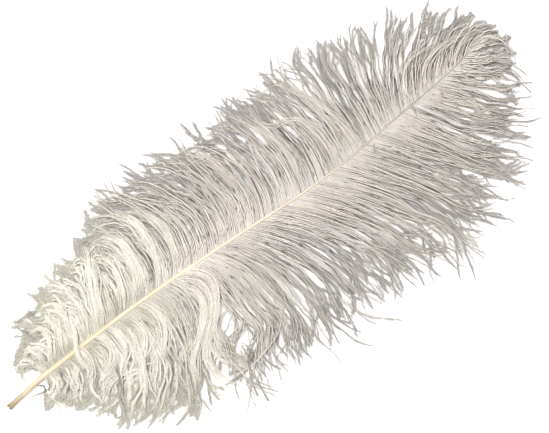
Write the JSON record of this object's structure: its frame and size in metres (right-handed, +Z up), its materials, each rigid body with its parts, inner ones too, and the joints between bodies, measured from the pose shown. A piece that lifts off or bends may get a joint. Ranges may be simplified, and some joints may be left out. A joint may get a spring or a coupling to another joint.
{
  "type": "ostrich feather",
  "caption": "Ostrich plume lying flat: bare quill running into a thin shaft, with a loose curling vane of soft barbs on each side.",
  "frame": {"origin": "on the table, under the middle of the feather's bounding box", "axes": "+X runs from the quill end to the tip, +Y is towards the left vane, +Z is up, away from the table"},
  "size_m": [0.4574, 0.1942, 0.0111],
  "materials": {
    "horn": "smooth horn (keratin), slightly translucent, satin",
    "barbs_left": "soft matt down of undyed ivory-grey barbs",
    "barbs_right": "soft matt down of undyed ivory-grey barbs"
  },
  "bodies": {
    "root": {"shaft": "horn", "vane_left": "barbs_left", "vane_right": "barbs_right"}
  },
  "joints": []
}
